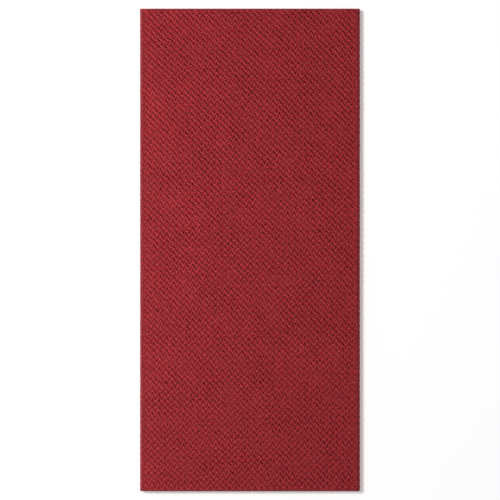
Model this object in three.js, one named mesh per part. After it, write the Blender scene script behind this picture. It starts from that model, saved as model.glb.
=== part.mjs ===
import * as THREE from "three";

// Paper dinner napkin of soft embossed tissue, folded to an eighth and lying flat.
// X runs across the folded napkin, Y along it, and Z up. Sizes are in millimetres.
// The sheet is folded once across its length, then in half and in half again along it.
// The first fold lies at -Y and the cut edges at +Y. The closed long side is at +X.

// The opened sheet, 15 1/2 by 17 inches
const SHEET_WIDTH = 394;
const SHEET_LENGTH = 432;
const PANELS_ACROSS = 4;
const HALVES_ALONG = 2;
const FOLDED_WIDTH = SHEET_WIDTH / PANELS_ACROSS;
const FOLDED_LENGTH = SHEET_LENGTH / HALVES_ALONG;

// A leaf is two plies of the sheet, laid together by the fold across its length
const LEAF = 1.0;
const LEAF_GAP = 0.3;
const LEAF_PITCH = LEAF + LEAF_GAP;
const STACK_HEIGHT = PANELS_ACROSS * LEAF + (PANELS_ACROSS - 1) * LEAF_GAP;

// Along its open edges a leaf parts into its two plies, in a narrow groove
const PARTING_DEPTH = 4;
const PARTING_MOUTH = 0.3;

// How finely the leaf is divided
const STEPS_ACROSS_PANEL = 13;
const STEPS_ROUND_TURN = 8;
const STEPS_ALONG = 22;
const STEPS_ROUND_FOLD = 4;

// The panels in the order of the sheet, and the place of each in the stack, from below
const PANELS = [
  { name: "under", level: 0 },
  { name: "face", level: 3 },
  { name: "second", level: 2 },
  { name: "inner", level: 1 },
];

// The corners between and beside the panels, seen from the end: the free edge under the stack,
// the turns, and the free edge inside the stack. Each lies its inset inside the outline, and
// there the cut edge and the fold lie their own insets inside it too. The reach of a turn is the
// depth of its half round over half its height: the outer wrap is pressed flat on the others.
const CORNERS = [
  { name: "lower free edge", side: -1, inset: 0.4, cutInset: 0.8, foldInset: 0.4 },
  { name: "outer wrap", side: 1, inset: 0, cutInset: 0, foldInset: 0, reach: 0.55 },
  { name: "face crease", side: -1, inset: 0, cutInset: 0, foldInset: 0, reach: 1.1 },
  { name: "inner wrap", side: 1, inset: 1.8, cutInset: 0.6, foldInset: 0.5, reach: 1.1 },
  { name: "inner free edge", side: -1, inset: 1.1, cutInset: 1.0, foldInset: 0.7 },
];

// The stack puffs up a little over its lowest leaf, in soft rises and troughs: the centre of
// each, how far it reaches along and across, the turn of its long way from X, and its rise
const PUFF = 0.42;
const UNEVENNESS = [
  { what: "trough aslant", x: 33, y: -10, along: 24, across: 7, turn: -52, rise: -0.36 },
  { what: "rise above it", x: 33, y: 24, along: 22, across: 12, turn: 70, rise: 0.2 },
  { what: "dip below it", x: 24, y: -60, along: 16, across: 9, turn: -60, rise: -0.2 },
  { what: "swell at the left", x: -25, y: -20, along: 60, across: 14, turn: 82, rise: 0.22 },
  { what: "swell at the top", x: -10, y: 72, along: 26, across: 20, turn: 20, rise: 0.16 },
  { what: "dip at the lower left", x: -18, y: -82, along: 18, across: 10, turn: 35, rise: -0.18 },
];
// Beside the face crease the stack is pressed down again
const CREASE_PRESS = 0.3;
const CREASE_PRESS_REACH = 5;

const TISSUE_COLOUR = 0x93303a;

const mix = THREE.MathUtils.lerp;

// Evenly spaced numbers from one to another, both included
function spread(from, to, steps) {
  return Array.from({ length: steps + 1 }, (_, step) => mix(from, to, step / steps));
}

// How far the top of the stack rises over its pressed height, and never sinks below it
function puffAt(x, y) {
  let rise = PUFF;
  for (const spot of UNEVENNESS) {
    const turn = THREE.MathUtils.degToRad(spot.turn);
    const offset = new THREE.Vector2(x - spot.x, y - spot.y);
    offset.rotateAround(new THREE.Vector2(), -turn);
    rise += spot.rise * Math.exp(-((offset.x / spot.along) ** 2) - (offset.y / spot.across) ** 2);
  }
  const fromCrease = (x + FOLDED_WIDTH / 2) / CREASE_PRESS_REACH;
  rise -= CREASE_PRESS * Math.exp(-(fromCrease ** 2));
  return Math.max(rise, 0);
}

// What lies above the lowest leaf is lifted in proportion to its height in the stack
function lift(point) {
  const share = Math.max(point.z - LEAF, 0) / (STACK_HEIGHT - LEAF);
  point.z += share * puffAt(point.x, point.y);
  return point;
}

function levelHeight(panel) {
  return LEAF / 2 + panel.level * LEAF_PITCH;
}

// The middle of a leaf round a turn, as half an ellipse from one panel's level to the next's
function turnPlaces(corner, panel, next) {
  const from = levelHeight(panel);
  const to = levelHeight(next);
  const halfDepth = (Math.abs(to - from) / 2) * corner.reach;
  const centre = FOLDED_WIDTH / 2 - corner.inset - LEAF / 2 - halfDepth;
  const angles = spread(-Math.PI / 2, Math.PI / 2, STEPS_ROUND_TURN);
  return angles.map((angle) => ({
    x: corner.side * (centre + halfDepth * Math.cos(angle)),
    z: mix(from, to, (1 + Math.sin(angle)) / 2),
    cutInset: corner.cutInset,
    foldInset: corner.foldInset,
  }));
}

// A free edge is one place, at the height of its panel
function edgePlaces(corner, panel) {
  const x = corner.side * (FOLDED_WIDTH / 2 - corner.inset);
  return [{ x, z: levelHeight(panel), cutInset: corner.cutInset, foldInset: corner.foldInset }];
}

// The shares of a panel's width at which it is divided. Beside a free edge the first step is as
// deep as the parting, so that the groove's root has a line of its own.
function panelShares(start, end, freeStart, freeEnd) {
  const root = PARTING_DEPTH / Math.abs(end.x - start.x);
  if (freeStart) return spread(root, 1, STEPS_ACROSS_PANEL - 1);
  if (freeEnd) return [...spread(0, 1 - root, STEPS_ACROSS_PANEL - 1).slice(1), 1];
  return spread(0, 1, STEPS_ACROSS_PANEL).slice(1);
}

// The middle line of the folded leaf, seen from the end, from free edge to free edge
function foldedLine() {
  const last = PANELS.length;
  const corners = CORNERS.map((corner, index) => {
    if (index === 0) return edgePlaces(corner, PANELS[0]);
    if (index === last) return edgePlaces(corner, PANELS[last - 1]);
    return turnPlaces(corner, PANELS[index - 1], PANELS[index]);
  });
  const line = [...corners[0]];
  for (let index = 1; index <= last; index++) {
    const start = line.at(-1);
    const end = corners[index][0];
    for (const share of panelShares(start, end, index === 1, index === last)) {
      line.push({
        x: mix(start.x, end.x, share),
        z: mix(start.z, end.z, share),
        cutInset: mix(start.cutInset, end.cutInset, share),
        foldInset: mix(start.foldInset, end.foldInset, share),
      });
    }
    line.push(...corners[index].slice(1));
  }
  return line;
}

// The unit normal of the line at each of its points, to the left of the way it runs
function lineNormals(line) {
  return line.map((_, index) => {
    const before = line[Math.max(index - 1, 0)];
    const after = line[Math.min(index + 1, line.length - 1)];
    return new THREE.Vector2(before.z - after.z, after.x - before.x).normalize();
  });
}

// Where the stations lie along Y, from the fold to the cut edge, the last step the parting's
function stationsFor(place) {
  const foldY = -FOLDED_LENGTH / 2 + place.foldInset + LEAF / 2;
  const cutY = FOLDED_LENGTH / 2 - place.cutInset;
  return [...spread(foldY, cutY - PARTING_DEPTH, STEPS_ALONG - 1), cutY];
}

// The whole napkin as one closed skin: the leaf's two sides as grids of points, and round their
// border a strip that is round at the fold and grooved along the three open edges
function foldedSheet() {
  const line = foldedLine();
  const normals = lineNormals(line);
  const stations = line.map(stationsFor);
  const lastAcross = line.length - 1;
  const lastAlong = STEPS_ALONG;
  const positions = [];
  const triangles = [];
  const known = new Map();

  // A grid place moved out from the middle line, and past the fold. Each point is made once.
  function vertex(across, along, out, pastFold = 0) {
    const key = [across, along, out, pastFold].join(" ");
    if (!known.has(key)) {
      const x = line[across].x + normals[across].x * out;
      const y = stations[across][along] - pastFold;
      const z = line[across].z + normals[across].y * out;
      known.set(key, positions.length / 3);
      positions.push(...lift(new THREE.Vector3(x, y, z)));
    }
    return known.get(key);
  }

  function triangle(a, b, c) {
    if (a !== b && b !== c && c !== a) triangles.push(a, b, c);
  }

  function quad(a, b, c, d) {
    triangle(a, b, c);
    triangle(a, c, d);
  }

  // The leaf's sides, left and right of the line
  for (let i = 0; i < lastAcross; i++) {
    for (let j = 0; j < lastAlong; j++) {
      const corners = [[i, j], [i + 1, j], [i + 1, j + 1], [i, j + 1]];
      quad(...corners.map(([across, along]) => vertex(across, along, LEAF / 2)));
      quad(...corners.reverse().map(([across, along]) => vertex(across, along, -LEAF / 2)));
    }
  }

  // Five points through the leaf at an open edge: side, lip, root of the groove, lip, side
  function grooveProfile(across, along) {
    const rootAcross = THREE.MathUtils.clamp(across, 1, lastAcross - 1);
    const rootAlong = Math.min(along, lastAlong - 1);
    return [
      vertex(across, along, -LEAF / 2),
      vertex(across, along, -PARTING_MOUTH / 2),
      vertex(rootAcross, rootAlong, 0),
      vertex(across, along, PARTING_MOUTH / 2),
      vertex(across, along, LEAF / 2),
    ];
  }

  // Where a free edge meets the fold, the groove is closed
  function closedProfile(across) {
    const middle = vertex(across, 0, 0);
    return [vertex(across, 0, -LEAF / 2), middle, middle, middle, vertex(across, 0, LEAF / 2)];
  }

  // Round the fold, from one side of the leaf to the other
  function roundProfile(across) {
    const round = spread(-Math.PI / 2, Math.PI / 2, STEPS_ROUND_FOLD).slice(1, -1);
    return [
      vertex(across, 0, -LEAF / 2),
      ...round.map((angle) => {
        return vertex(across, 0, (LEAF / 2) * Math.sin(angle), (LEAF / 2) * Math.cos(angle));
      }),
      vertex(across, 0, LEAF / 2),
    ];
  }

  const border = [closedProfile(0)];
  for (let j = 1; j < lastAlong; j++) border.push(grooveProfile(0, j));
  for (let i = 0; i <= lastAcross; i++) border.push(grooveProfile(i, lastAlong));
  for (let j = lastAlong - 1; j > 0; j--) border.push(grooveProfile(lastAcross, j));
  border.push(closedProfile(lastAcross));
  for (let i = lastAcross; i >= 0; i--) border.push(roundProfile(i));

  border.forEach((profile, index) => {
    const next = border[(index + 1) % border.length];
    for (let step = 0; step < profile.length - 1; step++) {
      quad(profile[step], profile[step + 1], next[step + 1], next[step]);
    }
  });

  const geometry = new THREE.BufferGeometry();
  geometry.setAttribute("position", new THREE.Float32BufferAttribute(positions, 3));
  geometry.setIndex(triangles);
  geometry.computeVertexNormals();
  return geometry;
}

const tissue = new THREE.MeshStandardMaterial({
  color: TISSUE_COLOUR,
  roughness: 0.95,
  metalness: 0,
});

const napkin = new THREE.Mesh(foldedSheet(), tissue);
napkin.name = "napkin";

const group = new THREE.Group();
group.add(napkin);

export default group;
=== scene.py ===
# %% [markdown]
# # A folded paper napkin
#
# A dinner napkin is one sheet of soft tissue. A roller presses small slanted dents into it, and
# a machine folds it to an eighth: once across its length, then in half and in half again along
# it. On the table it is a long flat stack of eight plies, with crisp creases.
#
# The dents are what the eye sees, so here they are real hollows in the mesh. One dent is
# modelled, Geometry Nodes repeat it over the flat sheet, and a formula then folds that
# flat sheet up, as the machine does. The folded solid that the frame holds gives the size.

# %% Load the frame
import math

import bmesh
import bpy
import numpy as np
from mathutils import Matrix, Vector, noise
from mathutils.geometry import delaunay_2d_cdt


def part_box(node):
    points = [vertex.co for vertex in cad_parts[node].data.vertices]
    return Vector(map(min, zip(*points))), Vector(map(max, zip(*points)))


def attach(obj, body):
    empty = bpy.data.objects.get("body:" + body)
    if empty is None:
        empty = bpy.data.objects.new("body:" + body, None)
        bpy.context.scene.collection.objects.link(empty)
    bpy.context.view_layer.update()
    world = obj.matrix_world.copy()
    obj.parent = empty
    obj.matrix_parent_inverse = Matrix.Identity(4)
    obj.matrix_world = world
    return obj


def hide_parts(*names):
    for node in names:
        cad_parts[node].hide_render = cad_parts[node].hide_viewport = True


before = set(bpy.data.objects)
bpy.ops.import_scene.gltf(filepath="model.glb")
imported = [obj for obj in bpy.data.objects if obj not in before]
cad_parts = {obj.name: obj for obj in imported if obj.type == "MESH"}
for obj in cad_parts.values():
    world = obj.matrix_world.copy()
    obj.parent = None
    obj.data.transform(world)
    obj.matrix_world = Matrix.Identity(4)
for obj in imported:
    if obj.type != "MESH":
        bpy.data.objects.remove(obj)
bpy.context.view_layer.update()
solid_low, solid_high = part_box("napkin")

# %% [markdown]
# ## Sizes
#
# Blender counts in metres, so small sizes are written as a number of millimetres. The folded
# width and length come from the frame. The sheet is four panels wide and two lengths long.
# A leaf is two plies, laid together by the fold across the sheet's length.

# %% Sizes
MM = 0.001
WIDTH = solid_high.x - solid_low.x
LENGTH = solid_high.y - solid_low.y
SHEET = (4 * WIDTH, 2 * LENGTH)
LEAF = 1.0 * MM
LEAF_GAP = 0.3 * MM
STACK = 4 * LEAF + 3 * LEAF_GAP
PLY = 0.44 * MM
PLY_GAP = 0.12 * MM
# The middle of a ply goes round the fold at this radius
FOLD_RADIUS = (PLY + PLY_GAP) / 2
# Heights over the middle of a ply: its back, and the land between its dents
BACK = -0.24 * MM
LAND = 0.12 * MM
FOLD_QUARTER = FOLD_RADIUS * math.pi / 2
print(f"sheet {SHEET[0] / MM:.0f} x {SHEET[1] / MM:.0f} mm, stack {STACK / MM:.1f} mm")

# %% [markdown]
# ## The folded line
#
# Seen from the end, the folded sheet is one line that runs to and fro: under the stack to the
# right, round the outer wrap, back over the top as the face, round the face crease, and so on
# to the free edge inside. Each corner has its own inset, because no machine lays the panels
# quite square. The line is kept as arrays over the distance along it, so that any point of the
# flat sheet can look up where it goes.

# %% The folded line
# The place of each panel in the stack, from below, in the order of the sheet
LEVELS = (0, 3, 2, 1)
# The insets are in millimetres: of the corner itself, of the cut edge and of the fold. A turn's
# reach is its depth over half its height, and pressed says how firmly it is creased.
CORNERS = (
    {"name": "lower free edge", "side": -1, "inset": 0.4, "cut": 0.8, "fold": 0.4},
    {"name": "outer wrap", "side": 1, "inset": 0, "cut": 0, "fold": 0, "reach": 0.55, "pressed": 0.75},
    {"name": "face crease", "side": -1, "inset": 0, "cut": 0, "fold": 0, "reach": 1.1, "pressed": 1},
    {"name": "inner wrap", "side": 1, "inset": 1.8, "cut": 0.6, "fold": 0.5, "reach": 1.1, "pressed": 1},
    {"name": "inner free edge", "side": -1, "inset": 1.1, "cut": 1.0, "fold": 0.7},
)
TURN_STEPS = 24
LINE_STEP = 0.5 * MM


def level_height(index):
    return LEAF / 2 + LEVELS[index] * (LEAF + LEAF_GAP)


def corner_places(index):
    """A corner's x and z: one place for a free edge, half an ellipse for a turn."""
    corner = CORNERS[index]
    outermost = WIDTH / 2 - corner["inset"] * MM
    if "reach" not in corner:
        height = level_height(min(index, len(LEVELS) - 1))
        return np.array([corner["side"] * outermost]), np.array([height])
    start, end = level_height(index - 1), level_height(index)
    depth = abs(end - start) / 2 * corner["reach"]
    angles = np.linspace(-math.pi / 2, math.pi / 2, TURN_STEPS + 1)
    x = outermost - LEAF / 2 - depth + depth * np.cos(angles)
    return corner["side"] * x, start + (end - start) * (1 + np.sin(angles)) / 2


def folded_line():
    """The line as arrays, and the distances along it at which each corner starts and ends."""
    parts = []
    for index, corner in enumerate(CORNERS):
        x, z = corner_places(index)
        if parts:
            before = parts[-1]
            steps = round(abs(x[0] - before["x"][-1]) / LINE_STEP)
            share = np.linspace(0, 1, steps + 1)[1:-1]
            between = {"x": before["x"][-1] + (x[0] - before["x"][-1]) * share}
            between["z"] = np.full(len(share), z[0])
            for key in ("cut", "fold"):
                ends = CORNERS[index - 1][key], corner[key]
                between[key] = (ends[0] + (ends[1] - ends[0]) * share) * MM
            parts.append(between)
        insets = {key: np.full(len(x), corner[key] * MM) for key in ("cut", "fold")}
        parts.append({"x": x, "z": z, **insets})
    line = {key: np.concatenate([part[key] for part in parts]) for key in parts[0]}
    steps = np.hypot(np.diff(line["x"]), np.diff(line["z"]))
    line["at"] = np.concatenate([[0], np.cumsum(steps)])
    along_x = np.gradient(line["x"], line["at"])
    along_z = np.gradient(line["z"], line["at"])
    size = np.hypot(along_x, along_z)
    line["normal_x"], line["normal_z"] = -along_z / size, along_x / size
    counts = np.cumsum([0] + [len(part["x"]) for part in parts])
    spans = [(line["at"][counts[i]], line["at"][counts[i + 1] - 1]) for i in range(0, len(parts), 2)]
    return line, spans


LINE, CORNER_SPANS = folded_line()
TURN_SPANS = CORNER_SPANS[1:-1]
LINE_LENGTH = LINE["at"][-1]
print("line", round(LINE_LENGTH / MM, 1), "mm; corners at", [round(a / MM, 1) for a, _ in CORNER_SPANS])

# %% [markdown]
# ## How the stack lies
#
# Tissue is springy, so the leaves puff up a little over the lowest one, which stays flat on the
# table. The rises and troughs are listed as soft mounds with a centre, two reaches and a turn.
# Beside the face crease the stack is pressed down again.

# %% The uneven lie
# Heights and places are in millimetres here, and turns in degrees from X
PUFF = 0.42
UNEVENNESS = (
    {"name": "trough aslant", "x": 33, "y": -10, "along": 24, "across": 7, "turn": -52, "rise": -0.36},
    {"name": "rise above it", "x": 33, "y": 24, "along": 22, "across": 12, "turn": 70, "rise": 0.2},
    {"name": "dip below it", "x": 24, "y": -60, "along": 16, "across": 9, "turn": -60, "rise": -0.2},
    {"name": "left swell", "x": -25, "y": -20, "along": 60, "across": 14, "turn": 82, "rise": 0.22},
    {"name": "top swell", "x": -10, "y": 72, "along": 26, "across": 20, "turn": 20, "rise": 0.16},
    {"name": "lower left dip", "x": -18, "y": -82, "along": 18, "across": 10, "turn": 35, "rise": -0.18},
)
CREASE_PRESS = 0.3
CREASE_PRESS_REACH = 5


def puff_at(x, y):
    """How far the top of the stack stands over its pressed height, from places in metres."""
    rise = np.full(len(x), PUFF)
    for spot in UNEVENNESS:
        turn = math.radians(spot["turn"])
        right, up = x / MM - spot["x"], y / MM - spot["y"]
        along = (right * math.cos(turn) + up * math.sin(turn)) / spot["along"]
        across = (up * math.cos(turn) - right * math.sin(turn)) / spot["across"]
        rise += spot["rise"] * np.exp(-(along**2) - across**2)
    from_crease = (x + WIDTH / 2) / MM / CREASE_PRESS_REACH
    rise -= CREASE_PRESS * np.exp(-(from_crease**2))
    return np.maximum(rise, 0) * MM


# %% [markdown]
# ## Square creases
#
# A pressed crease is squarer than the half ellipse of the line. So in a turn every point moves
# out from the turn's centre, by a factor that is one straight up, down and sideways and more
# between them. The outside of the turn becomes a superellipse of this power.

# %% The creases' form
CREASE_POWER = 6


def squared(across, x, z):
    """Places of points on the folded line's plane, with those in the turns moved outwards."""
    x, z = x.copy(), z.copy()
    for index, (start, end) in enumerate(TURN_SPANS, start=1):
        turn_x, turn_z = corner_places(index)
        centre_x, centre_z = turn_x[0], (turn_z[0] + turn_z[-1]) / 2
        side = CORNERS[index]["side"]
        reach_x = abs(turn_x - centre_x).max() + LEAF / 2
        reach_z = abs(turn_z - centre_z).max() + LEAF / 2
        inside = (across > start) & (across < end)
        right = (x[inside] - centre_x) / reach_x
        up = (z[inside] - centre_z) / reach_z
        size = np.hypot(right, up)
        shares = np.abs([right, up]) / size
        factor = (shares**CREASE_POWER).sum(axis=0) ** (-1 / CREASE_POWER)
        x[inside] = centre_x + right * factor * reach_x
        z[inside] = centre_z + up * factor * reach_z
        x[inside] = side * np.maximum(side * x[inside], side * centre_x)
    return x, z


# %% [markdown]
# ## Folding the sheet up
#
# A point of the flat sheet has three numbers: how far across it lies along the folded line, how
# far along it lies from the fold, and how far out it stands from the middle of its ply. Along is
# positive on the outer ply of a leaf and negative on the inner one, and the fold across the
# sheet is the small half round between them. Near the open edges the two plies part a little
# and waver, which keeps the cut edges from looking ruled.

# %% The folding formula
PARTING = 0.07 * MM
PARTING_REACH = 5 * MM
# The length of each wave in millimetres, and the angle at which it starts
WAVER = ((23, 0.4), (9.7, 1.9), (5.3, 4.1))
# These keep the two plies of a leaf, and the leaves of a free edge, from wavering alike
PLY_SHIFT = 31 * MM
LEAF_SHIFT = 0.1
INNER_PLY_SHORT = 0.3 * MM


def waver(distance):
    """A wavering share from 0 to 1 over a distance in metres, as a sum of three waves."""
    waves = [np.sin(distance / MM * 2 * math.pi / length + start) for length, start in WAVER]
    return 0.5 + sum(waves) / (2 * len(WAVER))


def parting_at(across, along):
    """How far a ply stands off its leaf near the three open edges."""
    from_cut = LENGTH - np.abs(along)
    from_free = np.minimum(across, LINE_LENGTH - across)
    at_cut = np.exp(-((from_cut / PARTING_REACH) ** 2)) * waver(across + np.sign(along) * PLY_SHIFT)
    at_free = np.exp(-((from_free / PARTING_REACH) ** 2)) * waver(along + across * LEAF_SHIFT)
    # Close to the fold the two plies can't part
    grows = np.clip(np.abs(along) / (4 * PARTING_REACH), 0, 1)
    # The lowest ply lies flat on the table
    lowest = (across < CORNER_SPANS[1][0]) & (along > 0)
    return np.where(lowest, 0, PARTING * grows * np.maximum(at_cut, at_free))


def fold_up(across, along, out):
    """Where points of the flat sheet lie in the folded napkin, one row of x, y and z each."""
    found = {key: np.interp(across, LINE["at"], LINE[key]) for key in LINE}
    turn = np.clip(along / FOLD_RADIUS, -math.pi / 2, math.pi / 2)
    straight = np.maximum(np.abs(along) - FOLD_QUARTER, 0) / (LENGTH - FOLD_QUARTER)
    fold_y = -LENGTH / 2 + found["fold"] + FOLD_RADIUS + PLY / 2
    cut_y = LENGTH / 2 - found["cut"] - np.where(along < 0, INNER_PLY_SHORT, 0)
    y = fold_y + (cut_y - fold_y) * straight - (FOLD_RADIUS + out) * np.cos(turn)
    side = -(FOLD_RADIUS + out + parting_at(across, along)) * np.sin(turn)
    x = found["x"] + found["normal_x"] * side
    z = found["z"] + found["normal_z"] * side
    x, z = squared(across, x, z)
    share = np.maximum(z - LEAF, 0) / (STACK - LEAF)
    # The table presses flat what would stand out below
    return np.column_stack([x, y, np.maximum(z + share * puff_at(x, y), 0)])


# %% [markdown]
# ## Nodes as Python
#
# Two helpers write node trees. `Tree.add` makes a node from its type, its settings and what
# goes into its sockets. `Number` wraps a socket, so that sums on it add Math nodes.

# %% Node helpers
class Tree:
    def __init__(self, group):
        self.nodes = group.nodes
        self.links = group.links

    def add(self, kind, settings=None, sockets=None):
        node = self.nodes.new(kind)
        for key, value in (settings or {}).items():
            setattr(node, key, value)
        for key, value in (sockets or {}).items():
            if isinstance(value, Number):
                value = value.socket
            if isinstance(value, bpy.types.NodeSocket):
                self.links.new(value, node.inputs[key])
            else:
                node.inputs[key].default_value = value
        return node

    def number(self, node, output=0):
        return Number(self, node.outputs[output])


class Number:
    def __init__(self, tree, socket):
        self.tree = tree
        self.socket = socket

    def maths(self, operation, first, second=0.0):
        node = self.tree.add("ShaderNodeMath", {"operation": operation}, {0: first, 1: second})
        return self.tree.number(node)

    def __add__(self, other):
        return self.maths("ADD", self, other)

    __radd__ = __add__

    def __sub__(self, other):
        return self.maths("SUBTRACT", self, other)

    def __mul__(self, other):
        return self.maths("MULTIPLY", self, other)

    def __lt__(self, other):
        return self.maths("LESS_THAN", self, other)

    def __mod__(self, other):
        return self.maths("FLOORED_MODULO", self, other)

    def __abs__(self):
        return self.maths("ABSOLUTE", self)


# %% [markdown]
# ## The tissue
#
# Napkin tissue is dyed through, rather matt and a little fluffy. Its colour isn't even: fibres
# lie in short pale streaks, and whole patches are a shade lighter or darker. Painted shade makes
# the creases and edges a little deeper, and the dent floors are a lighter, purer red: partly the
# pressed tissue's own colour, partly painted light that lifts their shade. The finish reads a UV
# map that holds the place on the flat sheet, so the streaks run on over every crease.

# %% The tissue's finish
DEEP_RED = (0.142, 0.0018, 0.0056, 1)
PALE_RED = (0.328, 0.0150, 0.0220, 1)
# Painted light: the dent floors are mixed toward this lighter, purer red, which lifts their shade; in
# part it is the pressed tissue's own colour
PRESSED_RED_AND_PAINTED_LIGHT = (0.370, 0.0009, 0.0070, 1)
# What the tone is made of, from deep red at 0 to pale red at 1
# The crease share darkens the tone: painted shade along the creases and edges
TONE = {"middle": 0.56, "patches": 0.45, "fluff": 4.8, "streaks": 2.1, "painted_crease_shade": 0.35}
RELIEF = {"fluff": 0.7, "streaks": 1.1}
RELIEF_DEPTH = 0.12 * MM
MATTNESS = {"middle": 0.6, "fluff": 0.3}
# How many grains there are to a millimetre
PATCH_SCALE = 0.06
FLUFF_SCALE = 1.5
# The fibres lie two ways, in degrees, and are drawn out along them
FIBRE_TURNS = (35, -50)
FIBRE_STRETCH = (0.5, 4.5)


def finish_tissue():
    material = bpy.data.materials.new("tissue")
    material.use_nodes = True
    tree = Tree(material.node_tree)
    shader = tree.nodes["Principled BSDF"]
    sheet_map = tree.add("ShaderNodeUVMap", {"uv_map": "sheet"})

    def place(turn=0):
        """The place on the sheet in millimetres. If it is turned, it is drawn out too."""
        flat = tree.add(
            "ShaderNodeMapping",
            sockets={"Vector": sheet_map.outputs[0], "Scale": (SHEET[0] / MM, SHEET[1] / MM, 1)},
        )
        if not turn:
            return flat.outputs[0]
        turned = tree.add(
            "ShaderNodeMapping",
            sockets={"Vector": flat.outputs[0], "Rotation": (0, 0, math.radians(turn))},
        )
        stretched = tree.add(
            "ShaderNodeMapping", sockets={"Vector": turned.outputs[0], "Scale": (*FIBRE_STRETCH, 1)}
        )
        return stretched.outputs[0]

    def grain(vector, scale, detail):
        node = tree.add(
            "ShaderNodeTexNoise",
            {"noise_dimensions": "2D"},
            {"Vector": vector, "Scale": scale, "Detail": detail, "Roughness": 0.6},
        )
        return tree.number(node, "Fac") - 0.5

    patches = grain(place(), PATCH_SCALE, 2)
    fluff = grain(place(), FLUFF_SCALE, 3)
    fibres = [grain(place(turn), 1, 2) for turn in FIBRE_TURNS]
    dents, painted_crease_shade = (
        tree.number(tree.add("ShaderNodeAttribute", {"attribute_name": name}), "Fac")
        for name in ("dent", "crease")
    )
    streaks = fibres[0] + fibres[1]
    tone = TONE["middle"] + patches * TONE["patches"] + fluff * TONE["fluff"]
    # Painted shade: the tone is darker along the creases and edges
    tone = tone + streaks * TONE["streaks"] - painted_crease_shade * TONE["painted_crease_shade"]
    # Sockets 6 and 7 of a mix are its two colours, and output 2 is the mixed one
    colour = tree.add(
        "ShaderNodeMix",
        {"data_type": "RGBA", "clamp_factor": True},
        {"Factor": tone, 6: DEEP_RED, 7: PALE_RED},
    )
    # Painted light: the dent floors are mixed toward a lighter, purer red that lifts their shade, partly
    # the pressed tissue's own colour
    pressed = tree.add(
        "ShaderNodeMix",
        {"data_type": "RGBA", "clamp_factor": True},
        {"Factor": dents * dents, 6: colour.outputs[2], 7: PRESSED_RED_AND_PAINTED_LIGHT},
    )
    relief = fluff * RELIEF["fluff"] + streaks * RELIEF["streaks"]
    bump = tree.add(
        "ShaderNodeBump", sockets={"Height": relief, "Strength": 1.0, "Distance": RELIEF_DEPTH}
    )
    roughness = MATTNESS["middle"] + fluff * MATTNESS["fluff"]
    tree.links.new(pressed.outputs[2], shader.inputs["Base Color"])
    tree.links.new(bump.outputs[0], shader.inputs["Normal"])
    tree.links.new(roughness.socket, shader.inputs["Roughness"])
    shader.inputs["Specular IOR Level"].default_value = 0.22
    shader.inputs["Sheen Weight"].default_value = 0.03
    shader.inputs["Sheen Roughness"].default_value = 0.6
    print("tissue:", len(tree.nodes), "nodes")
    return material


TISSUE = finish_tissue()

# %% [markdown]
# ## One dent
#
# The dents lie like the strands of a woven basket: each fills one square of a diamond lattice,
# and its neighbours are turned by a right angle. So one square tile is enough, and a quarter of
# it, mirrored twice, makes the tile. The dent is a narrow trough between sloping walls, which rise
# to a low crest on either side. Its ends run out over saddles, and the four corners of the tile
# are soft pillows. Heights are shares of the dent's depth.

# %% The tile with one dent
TILE_POINTS = {
    "floor": (0, 0, -1),
    "floor end": (0, 0.33, -0.98),
    "wall": (0.12, 0, -0.53),
    "shoulder": (0.19, 0.41, -0.1),
    "crest": (0.29, 0, 0.15),
    "saddle": (0, 0.5, -0.6),
    "next saddle": (0.5, 0, -0.6),
    "pillow": (0.5, 0.5, 1.1),
}
TILE_FACES = (
    ("floor", "wall", "shoulder"),
    ("floor", "shoulder", "floor end"),
    ("floor end", "shoulder", "saddle"),
    ("saddle", "shoulder", "pillow"),
    ("wall", "crest", "shoulder"),
    ("crest", "pillow", "shoulder"),
    ("crest", "next saddle", "pillow"),
)


def make_tile():
    points, faces = {}, []
    for right, up in ((1, 1), (-1, 1), (-1, -1), (1, -1)):
        for names in TILE_FACES:
            places = [TILE_POINTS[name] for name in names]
            places = [(x * right, y * up, z) for x, y, z in places]
            # A mirrored face runs the other way round
            places = places[:: right * up]
            faces.append([points.setdefault(place, len(points)) for place in places])
    mesh = bpy.data.meshes.new("dent_tile")
    mesh.from_pydata(list(points), [], faces)
    print("tile:", len(points), "points,", len(faces), "faces")
    return bpy.data.objects.new("dent_tile", mesh)


TILE = make_tile()

# %% [markdown]
# ## The lattice of dents
#
# A Geometry Nodes tree puts the tile on each point of a grid. The grid is turned by half a right
# angle, so that the dents slant both ways, and every second tile is turned by a right angle. The
# tiles are made real, and their shared corners are merged into one skin.

# %% The lattice's node tree
DENT_CELL = (2.84 * MM, 2.79 * MM)
# Corners of tiles this near each other are one point, in shares of a tile
MERGE_WITHIN = 0.001


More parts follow.
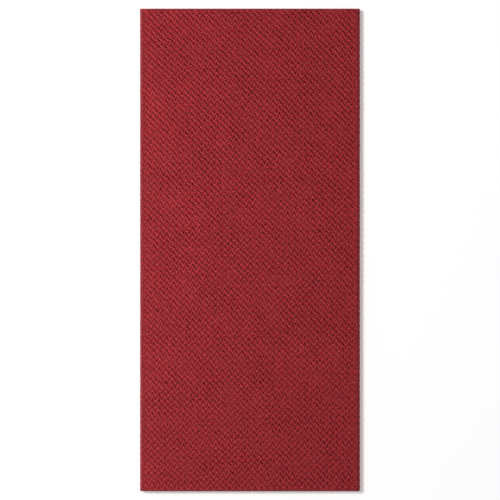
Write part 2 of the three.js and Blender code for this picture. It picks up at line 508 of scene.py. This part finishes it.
def lattice_tree():
    group = bpy.data.node_groups.new("dent_lattice", "GeometryNodeTree")
    sizes = {
        "Tile": "NodeSocketObject",
        "Cell Across": "NodeSocketFloat",
        "Cell Along": "NodeSocketFloat",
        "Reach Across": "NodeSocketFloat",
        "Reach Along": "NodeSocketFloat",
        "Points": "NodeSocketInt",
        "Material": "NodeSocketMaterial",
    }
    for name, kind in sizes.items():
        group.interface.new_socket(name, in_out="INPUT", socket_type=kind)
    group.interface.new_socket("Skin", in_out="OUTPUT", socket_type="NodeSocketGeometry")
    tree = Tree(group)
    given = tree.add("NodeGroupInput").outputs
    span = tree.number(tree.add("NodeGroupInput"), "Points") - 1
    grid = tree.add(
        "GeometryNodeMeshGrid",
        sockets={
            "Size X": span,
            "Size Y": span,
            "Vertices X": given["Points"],
            "Vertices Y": given["Points"],
        },
    )
    position = tree.add("GeometryNodeInputPosition")
    split = tree.add("ShaderNodeSeparateXYZ", sockets={0: position.outputs[0]})
    right, up = tree.number(split, "X"), tree.number(split, "Y")
    # In the turned lattice a point lies half their difference across, and half their sum along
    across = abs((right - up) * 0.5 * Number(tree, given["Cell Across"]))
    along = abs((right + up) * 0.5 * Number(tree, given["Cell Along"]))
    across_inside = across < Number(tree, given["Reach Across"])
    along_inside = along < Number(tree, given["Reach Along"])
    odd = (right + up + 0.5) % 2 - 0.5
    quarter = tree.add("ShaderNodeCombineXYZ", sockets={"Z": odd * (math.pi / 2)})
    turned = tree.add("FunctionNodeEulerToRotation", sockets={0: quarter.outputs[0]})
    tile = tree.add("GeometryNodeObjectInfo", sockets={"Object": given["Tile"]})
    placed = tree.add(
        "GeometryNodeInstanceOnPoints",
        sockets={
            "Points": grid.outputs["Mesh"],
            "Selection": across_inside * along_inside,
            "Instance": tile.outputs["Geometry"],
            "Rotation": turned.outputs[0],
        },
    )
    real = tree.add("GeometryNodeRealizeInstances", sockets={0: placed.outputs[0]})
    merged = tree.add(
        "GeometryNodeMergeByDistance",
        sockets={"Geometry": real.outputs[0], "Distance": MERGE_WITHIN},
    )
    eighth = tree.add(
        "GeometryNodeTransform",
        sockets={"Geometry": merged.outputs[0], "Rotation": (0, 0, math.pi / 4)},
    )
    diagonal = math.sqrt(0.5)
    scale = tree.add(
        "ShaderNodeCombineXYZ",
        sockets={
            "X": Number(tree, given["Cell Across"]) * diagonal,
            "Y": Number(tree, given["Cell Along"]) * diagonal,
            "Z": 1.0,
        },
    )
    sized = tree.add(
        "GeometryNodeTransform",
        sockets={"Geometry": eighth.outputs[0], "Scale": scale.outputs[0]},
    )
    painted = tree.add(
        "GeometryNodeSetMaterial", sockets={"Geometry": sized.outputs[0], "Material": given["Material"]}
    )
    tree.add("NodeGroupOutput", sockets={0: painted.outputs[0]})
    return group


LATTICE = lattice_tree()


def flat_dents(across_span, along_span):
    """The dented skin over a stretch of the flat sheet, as a mesh with heights in shares."""
    middle = [sum(span) / 2 for span in (across_span, along_span)]
    # The lattice is one over the whole sheet, so its centre is a whole number of cells away
    shift = [round(m / cell) * cell for m, cell in zip(middle, DENT_CELL)]
    reach = [
        max(abs(end - s) for end in span) + cell
        for span, s, cell in zip((across_span, along_span), shift, DENT_CELL)
    ]
    points = 2 * math.ceil(reach[0] / DENT_CELL[0] + reach[1] / DENT_CELL[1]) + 1
    carrier = bpy.data.objects.new("dent_lattice", bpy.data.meshes.new("dent_lattice"))
    bpy.context.scene.collection.objects.link(carrier)
    modifier = carrier.modifiers.new("lattice", "NODES")
    modifier.node_group = LATTICE
    wanted = {
        "Tile": TILE,
        "Cell Across": DENT_CELL[0],
        "Cell Along": DENT_CELL[1],
        "Reach Across": reach[0],
        "Reach Along": reach[1],
        "Points": points,
        "Material": TISSUE,
    }
    for item in LATTICE.interface.items_tree:
        if item.name in wanted:
            modifier[item.identifier] = wanted[item.name]
    ready = carrier.evaluated_get(bpy.context.evaluated_depsgraph_get())
    mesh = bpy.data.meshes.new_from_object(ready)
    bpy.data.objects.remove(carrier)
    mesh.transform(Matrix.Translation((*shift, 0)))
    return mesh


# %% [markdown]
# ## Trimming the skin
#
# The roller's pattern drifts slowly over a real sheet, because paper stretches as it is pressed
# and folded. The flat skin is shifted by a few long waves, and then cut to straight edges. Extra
# cuts next to the fold give the skin enough points to go round it smoothly.

# %% Trim and drift
# The waves' lengths and shifts are in millimetres. A length of 0 means no change that way.
DRIFT = (
    {"along": 173, "across": 0, "start": 0.6, "right": 0.55, "up": 0.2},
    {"along": 0, "across": 118, "start": 2.1, "right": 0.25, "up": 0.5},
    {"along": 95, "across": 140, "start": 4.4, "right": 0.3, "up": -0.3},
)
FOLD_CUTS = 6
# Each point also lies a little off its place
SHAKE = 0.05 * MM
SHAKE_SEED = 4
CUT_WITHIN = 1e-8
SLIVER = 1e-7


def drifted(points):
    moved = points.copy()
    moved[:, :2] += SHAKE * np.random.default_rng(SHAKE_SEED).normal(size=(len(points), 2))
    for wave in DRIFT:
        phase = np.full(len(points), wave["start"])
        for axis, key in enumerate(("across", "along")):
            if wave[key]:
                phase += points[:, axis] / MM * 2 * math.pi / wave[key]
        moved[:, 0] += wave["right"] * MM * np.sin(phase)
        moved[:, 1] += wave["up"] * MM * np.sin(phase)
    return moved


def coordinates(mesh):
    flat = np.empty(len(mesh.vertices) * 3, dtype=np.float32)
    mesh.vertices.foreach_get("co", flat)
    return flat.reshape(-1, 3).astype(float)


def cut(shape, axis, place, side=0):
    """Cuts a flat shape at a place across or along. A side of 1 or -1 drops what lies there."""
    normal = Vector((1, 0, 0)) if axis == 0 else Vector((0, 1, 0))
    point = normal * place
    if side < 0:
        normal = -normal
    geometry = shape.verts[:] + shape.edges[:] + shape.faces[:]
    bmesh.ops.bisect_plane(
        shape,
        geom=geometry,
        dist=CUT_WITHIN,
        plane_co=point,
        plane_no=normal,
        clear_outer=side != 0,
    )


def trimmed_skin(across_span, along_span):
    """Points, triangles and the border loop of the dented skin over a stretch of the sheet."""
    mesh = flat_dents(across_span, along_span)
    mesh.vertices.foreach_set("co", drifted(coordinates(mesh)).ravel())
    shape = bmesh.new()
    shape.from_mesh(mesh)
    bpy.data.meshes.remove(mesh)
    for axis, span in enumerate((across_span, along_span)):
        cut(shape, axis, span[0], -1)
        cut(shape, axis, span[1], 1)
    for step in range(FOLD_CUTS):
        cut(shape, 1, FOLD_QUARTER * (2 * (step + 0.5) / FOLD_CUTS - 1))
    bmesh.ops.triangulate(shape, faces=shape.faces[:])
    bmesh.ops.dissolve_degenerate(shape, dist=SLIVER, edges=shape.edges[:])
    shape.verts.index_update()
    points = np.array([vertex.co[:] for vertex in shape.verts])
    faces = [tuple(vertex.index for vertex in face.verts) for face in shape.faces]
    loop = border_loop(shape)
    shape.free()
    return points, faces, loop


def border_loop(shape):
    """The points of a shape's one border, in order, with the shape on their left."""
    after = {}
    for edge in shape.edges:
        if edge.is_boundary:
            corner = edge.link_loops[0]
            after[corner.vert.index] = corner.link_loop_next.vert.index
    loop = [next(iter(after))]
    while after[loop[-1]] != loop[0]:
        loop.append(after[loop[-1]])
    return loop


# %% [markdown]
# ## From skin to ply
#
# A ply has a back and a rim too. The back needs few points where it is flat, and more where it
# turns, so its points stand on a grid with uneven steps, and a Delaunay triangulation joins them
# to the same border as the skin. Then the rim joins the two borders, and the folding formula
# puts every point in its place.

# %% Build a ply
FLAT_STEP = 6 * MM
TURN_STEP = 0.33 * MM
EDGE_STEPS = (0.7 * MM, 1.6 * MM, 3.2 * MM)
CREASE_REACH = 0.4 * MM
# The triangulation works in millimetres, and keeps only what lies inside the ring
JOIN_WITHIN = 1e-5
INSIDE_ONLY = 1


def graded(spans, start, end):
    """Places from start to end: even steps, finer in the spans, and closing in on both ends."""
    marks = {start, end}
    marks.update(start + step for step in EDGE_STEPS)
    marks.update(end - step for step in EDGE_STEPS)
    for low, high, step in spans:
        marks.update(np.linspace(low, high, max(2, math.ceil((high - low) / step) + 1)))
    marks = sorted(mark for mark in marks if start <= mark <= end)
    filled = [marks[0]]
    for mark in marks[1:]:
        gap = mark - filled[-1]
        count = math.ceil(gap / FLAT_STEP)
        filled += [filled[-1] + gap * k / count for k in range(1, count)] + [mark]
    return filled


def triangulated(loop_points, inner_points):
    """Triangles inside a loop, over the loop's points and then the inner ones."""
    everything = [Vector(point) / MM for point in [*loop_points, *inner_points]]
    ring = list(range(len(loop_points)))
    made = delaunay_2d_cdt(everything, [], [ring], INSIDE_ONLY, JOIN_WITHIN)
    source = [sources[0] for sources in made[3]]
    return [tuple(source[i] for i in face) for face in made[2]]


# Each span has its start, its end and the steps in it
FOLD_EDGE = 1.3 * FOLD_QUARTER
FINE_SPANS = [(*span, TURN_STEP) for span in TURN_SPANS]
FOLD_SPAN = (-FOLD_EDGE, FOLD_EDGE, FOLD_QUARTER / 4)


def near(away, reach):
    """A share that is one where the distance is nothing or less, and fades over the reach."""
    return np.exp(-((np.maximum(away, 0) / reach) ** 2))


def crease_share(across, along, reach=CREASE_REACH):
    """How near each place of the sheet lies to a crease or an edge, with each turn's crease weighted by
    how firmly it is pressed. It irons the relief, and the finish paints shade by it.
    """
    shares = [near(np.abs(along) - FOLD_QUARTER, reach), near(LENGTH - np.abs(along), reach)]
    shares += [near(across, reach), near(LINE_LENGTH - across, reach)]
    for (start, end), corner in zip(TURN_SPANS, CORNERS[1:-1]):
        away = np.maximum(start - across, across - end)
        shares.append(corner["pressed"] * near(away, reach))
    return np.max(shares, axis=0)


def make_ply(name, points, faces, loop, back_points, back_faces):
    """One closed piece. The skin's heights and the back's places are already known."""
    count = len(points)
    across = np.concatenate([points[:, 0], back_points[:, 0]])
    along = np.concatenate([points[:, 1], back_points[:, 1]])
    out = np.concatenate([points[:, 2], np.full(len(back_points), BACK)])
    places = fold_up(across, along, out)
    rim = []
    for index, here in enumerate(loop):
        following = (index + 1) % len(loop)
        rim.append((loop[following], here, count + index, count + following))
    backs = [tuple(count + i for i in reversed(face)) for face in back_faces]
    # The fold turns the flat sheet's right hand into the left, so every face is turned round
    everything = [tuple(reversed(face)) for face in [*faces, *backs, *rim]]
    mesh = bpy.data.meshes.new(name)
    mesh.from_pydata(places, [], everything)
    mesh.polygons.foreach_set("use_smooth", [True] * len(mesh.polygons))
    piece = bpy.data.objects.new(name, mesh)
    bpy.context.scene.collection.objects.link(piece)
    sheet_map = mesh.uv_layers.new(name="sheet")
    corners = np.empty(len(mesh.loops), dtype=np.int32)
    mesh.loops.foreach_get("vertex_index", corners)
    shares = np.column_stack([across / LINE_LENGTH, 0.5 + along / SHEET[1]])[corners]
    sheet_map.uv.foreach_set("vector", shares.astype(np.float32).ravel())
    # Painted light: the dent share lets the finish mix the dent floors toward a lighter, purer red that
    # lifts their shade, partly the pressed tissue's own colour
    pressed = np.clip((LAND - out) / DENT_DEPTH, 0, 1)
    pressed[count:] = 0
    # The crease share lets the finish paint shade along the creases and edges
    for key, values in (("dent", pressed), ("crease", crease_share(across, along))):
        attribute = mesh.attributes.new(key, "FLOAT", "POINT")
        attribute.data.foreach_set("value", values.astype(np.float32))
    mark_sharp(mesh, [loop, range(count, count + len(loop))])
    mesh.materials.append(TISSUE)
    mesh.validate()
    return piece


def mark_sharp(mesh, loops):
    """Marks the edges of closed loops of points as sharp, so that a rim keeps its corners."""
    pairs = set()
    for loop in loops:
        loop = list(loop)
        pairs.update(frozenset(pair) for pair in zip(loop, loop[1:] + loop[:1]))
    sharp = [frozenset(edge.vertices) in pairs for edge in mesh.edges]
    mesh.attributes.new("sharp_edge", "BOOLEAN", "EDGE").data.foreach_set("value", sharp)


# %% [markdown]
# ## The face and the underside
#
# The two outer plies show all over, so they carry the real dents. The roller never presses
# quite evenly, so the depth wanders from patch to patch, and the springy land between the dents
# rises and falls a little. The seam between the two pieces lies under the outer wrap, where the
# napkin touches the table.

# %% Face and underside
DENT_DEPTH = 0.315 * MM
DEPTH_WANDER = 0.28
# The depth wanders in coarse patches, and in finer ones that count this much more
WANDER_SCALE = 0.11 / MM
FINER = 4
FINER_SHARE = 1.2
LAND_ROUGHNESS = 0.03 * MM
LAND_SEED = 8
IRONING = 0.85
IRONING_REACH = 0.7 * MM
# The face starts at the seam under the outer wrap, and ends past the face crease. Both outer
# plies end a little past the fold.
SEAM = CORNER_SPANS[1][0] - 1.5 * MM
FACE_END = CORNER_SPANS[2][1] + 3 * MM
PAST_FOLD = -FOLD_QUARTER - 1 * MM


def pressed_heights(points):
    """Turns the skin's shares into heights over the ply's middle, in metres."""
    relief = LAND_ROUGHNESS * np.random.default_rng(LAND_SEED).normal(size=len(points))
    for index, (across, along, share) in enumerate(points):
        spot = Vector((across, along, 0)) * WANDER_SCALE
        wander = noise.noise(spot) + FINER_SHARE * noise.noise(spot * FINER)
        relief[index] += DENT_DEPTH * (1 + DEPTH_WANDER * wander) * share
    # A crease irons the relief out
    pressed = IRONING * crease_share(points[:, 0], points[:, 1], IRONING_REACH)
    return (LAND + relief) * (1 - pressed) + PLY / 2 * pressed


def dented_ply(name, across_span):
    along_span = (PAST_FOLD, LENGTH)
    points, faces, loop = trimmed_skin(across_span, along_span)
    points[:, 2] = pressed_heights(points)
    turns = [span for span in FINE_SPANS if across_span[0] < span[0] < across_span[1]]
    columns = graded(turns, *across_span)[1:-1]
    rows = graded([FOLD_SPAN], *along_span)[1:-1]
    inner = [(a, b) for a in columns for b in rows]
    border = points[loop, :2]
    back = triangulated(border, inner)
    return make_ply(name, points, faces, loop, np.array([*border, *inner]), back)


face = dented_ply("napkin_face", (SEAM, FACE_END))
underside = dented_ply("napkin_underside", (0, SEAM))
for piece in (face, underside):
    print(piece.name, len(piece.data.polygons), "faces,", len(piece.data.vertices), "points")

# %% [markdown]
# ## The plies inside
#
# All else is hidden but for its edges. It is still one piece of the same sheet: the inner ply of
# every leaf, and both plies of the two leaves inside, in the flat the shape of a letter L. Its
# two sides share one set of triangles. The dents are a formula here, for the points along the
# edges and the fold, which is where they can be seen.

# %% The inner plies
EDGE_STEP = 0.7 * MM
FOLD_COLUMN_STEP = 1.0 * MM
# No inner point lies nearer to the border than this
BORDER_CLEAR = 0.6 * EDGE_STEP


def dent_share(across, along):
    """How deep the dents lie at places of the flat sheet, as a share of their depth."""
    right, up = across / DENT_CELL[0], along / DENT_CELL[1]
    depth = np.zeros(len(across))
    for offset, slant in ((0, -1), (0.5, 1)):
        dx = (right - offset + 0.5) % 1 - 0.5
        dy = (up - offset + 0.5) % 1 - 0.5
        along_dent = (dx + slant * dy) / TILE_POINTS["saddle"][1]
        across_dent = (dx - slant * dy) / TILE_POINTS["crest"][0]
        depth = np.maximum(depth, 1 - np.hypot(along_dent, across_dent))
    return depth


def stepped(start, end, step):
    """Points from start up to but not with end."""
    start, end = np.array(start), np.array(end)
    count = max(1, round(np.linalg.norm(end - start) / step))
    return [tuple(start + (end - start) * k / count) for k in range(count)]


def inner_plies(name):
    low, high = -LENGTH, LENGTH
    shape = [
        (0, low),
        (LINE_LENGTH, low),
        (LINE_LENGTH, high),
        (FACE_END, high),
        (FACE_END, PAST_FOLD),
        (0, PAST_FOLD),
    ]
    border = []
    for start, end in zip(shape, shape[1:] + shape[:1]):
        border += stepped(start, end, EDGE_STEP)
    columns = graded(FINE_SPANS, 0, LINE_LENGTH)
    rows = graded([FOLD_SPAN], low, high)
    inner = [(a, b) for a in columns for b in rows]
    fold_rows = [row for row in rows if abs(row) <= FOLD_SPAN[1]]
    inner += [(a, b) for a in np.arange(FACE_END, LINE_LENGTH, FOLD_COLUMN_STEP) for b in fold_rows]

    def is_inside(a, b):
        if not BORDER_CLEAR < a < LINE_LENGTH - BORDER_CLEAR:
            return False
        if not low + BORDER_CLEAR < b < high - BORDER_CLEAR:
            return False
        return a > FACE_END + BORDER_CLEAR or b < PAST_FOLD - BORDER_CLEAR

    inner = [point for point in inner if is_inside(*point)]
    flat = np.array([*border, *inner])
    faces = triangulated(border, inner)
    heights = LAND - DENT_DEPTH * dent_share(flat[:, 0], flat[:, 1])
    points = np.column_stack([flat, heights])
    return make_ply(name, points, faces, list(range(len(border))), flat, faces)


inside = inner_plies("napkin_inner_plies")
print(inside.name, len(inside.data.polygons), "faces,", len(inside.data.vertices), "points")

# %% [markdown]
# ## Into the frame
#
# The three pieces are one sheet. They hang from the root body and stand for the one solid of
# the frame, which is hidden. The flat area of the inner plies' letter L is worked out too.

INNER_AREA = LINE_LENGTH * (LENGTH + PAST_FOLD) + (LINE_LENGTH - FACE_END) * (LENGTH - PAST_FOLD)

for piece in (face, underside, inside):
    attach(piece, "root")
    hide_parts("napkin")

# %% [markdown]
# ## Floor, light and camera
#
# The napkin lies on a white table, seen straight from above through a long lens. Soft light
# comes from the upper left, which leaves the narrow shadow at the right and the bottom. A lamp
# low at the left rakes over the paper and brings out the dents. It is linked to the napkin only,
# so it throws no long shadow on the table. The table lies a hair under the napkin, so that no two
# faces fall together.

# %% The table
TABLE_SIZE = 4.0
TABLE_DROP = 0.05 * MM
TABLE_GLOW = 0.34


def make_table():
    bpy.ops.mesh.primitive_plane_add(size=TABLE_SIZE, location=(0, 0, -TABLE_DROP))
    table = bpy.context.object
    table.name = "table_top"
    material = bpy.data.materials.new("white_card")
    material.use_nodes = True
    shader = material.node_tree.nodes["Principled BSDF"]
    shader.inputs["Base Color"].default_value = (0.9, 0.9, 0.9, 1)
    shader.inputs["Roughness"].default_value = 0.9
    shader.inputs["Specular IOR Level"].default_value = 0.2
    shader.inputs["Emission Color"].default_value = (1, 1, 1, 1)
    shader.inputs["Emission Strength"].default_value = TABLE_GLOW
    table.data.materials.append(material)
    return table


table = make_table()

# %% [markdown]
# ## The lamps
#
# Each lamp is a round soft box. Its place is given as a photographer would say it: from which
# side it shines, how high it stands and how far away. The rake is aimed past the upper end, which
# leaves the lower end a shade darker, and a weak lamp low at the right fills the dents. The sky
# fills the shadows a little.

# %% Lamps
SKY_LEVEL = 0.16
# The bearing and the height are in degrees, seen from the napkin's middle
LAMPS = (
    {
        "name": "rake",
        "from": 195,
        "up": 31,
        "away": 0.72,
        "size": 0.2,
        "aim": (0, 0.2, 0),
        "spread": 120,
        "power": 3.85,
        "lights": "napkin",
    },
    {
        "name": "soft_key",
        "from": 152,
        "up": 68,
        "away": 0.36,
        "size": 0.22,
        "aim": (0, 0, 0),
        "spread": 180,
        "power": 0.22,
        "lights": "napkin",
    },
    {
        "name": "fill",
        "from": 0,
        "up": 10,
        "away": 0.9,
        "size": 0.4,
        "aim": (0, 0, 0),
        "spread": 180,
        "power": 4.4,
        "lights": "napkin",
    },
    {
        "name": "table_key",
        "from": 152,
        "up": 67,
        "away": 1.6,
        "size": 0.44,
        "aim": (0, 0, 0),
        "spread": 180,
        "power": 17,
        "lights": "table",
    },
)


def receivers(name, objects):
    group = bpy.data.collections.new(name)
    for thing in objects:
        group.objects.link(thing)
    return group


RECEIVERS = {
    "napkin": receivers("lit_napkin", (face, underside, inside)),
    "table": receivers("lit_table", (table,)),
}


def add_lamp(lamp):
    turn, tilt = math.radians(lamp["from"]), math.radians(lamp["up"])
    way = Vector((math.cos(turn) * math.cos(tilt), math.sin(turn) * math.cos(tilt), math.sin(tilt)))
    data = bpy.data.lights.new(lamp["name"], "AREA")
    data.shape = "DISK"
    data.size = lamp["size"]
    data.energy = lamp["power"]
    data.spread = math.radians(lamp["spread"])
    thing = bpy.data.objects.new(lamp["name"], data)
    thing.location = way * lamp["away"]
    thing.rotation_euler = (Vector(lamp["aim"]) - thing.location).to_track_quat("-Z", "Y").to_euler()
    thing.light_linking.receiver_collection = RECEIVERS[lamp["lights"]]
    bpy.context.scene.collection.objects.link(thing)
    print("lamp", lamp["name"], lamp["power"], "W")


for lamp in LAMPS:
    add_lamp(lamp)

world = bpy.data.worlds.new("soft_sky")
world.use_nodes = True
world.node_tree.nodes["Background"].inputs["Color"].default_value = (1, 1, 1, 1)
world.node_tree.nodes["Background"].inputs["Strength"].default_value = SKY_LEVEL
bpy.context.scene.world = world
bpy.context.scene.view_settings.view_transform = "Standard"

# %% [markdown]
# ## The camera
#
# A long lens straight overhead shows the face without its sides. Its distance follows from how
# much of the frame's width the napkin takes up.

# %% The camera
# The photograph's napkin is this many pixels wide, in a frame of this many
PHOTO_NAPKIN_WIDTH = 220.2
PHOTO_WIDTH = 500
# The lens and the sensor are in millimetres, and the clipping distance in metres
LENS = 180
SENSOR = 36
FAR_END = 10


def add_camera():
    data = bpy.data.cameras.new("camera")
    data.lens = LENS
    data.sensor_width = SENSOR
    view_width = WIDTH * PHOTO_WIDTH / PHOTO_NAPKIN_WIDTH
    away = view_width * LENS / SENSOR
    data.clip_end = FAR_END
    camera = bpy.data.objects.new("camera", data)
    camera.location = (0, 0, solid_high.z + away)
    bpy.context.scene.collection.objects.link(camera)
    bpy.context.scene.camera = camera
    print(f"camera {away:.3f} m over the face")


add_camera()
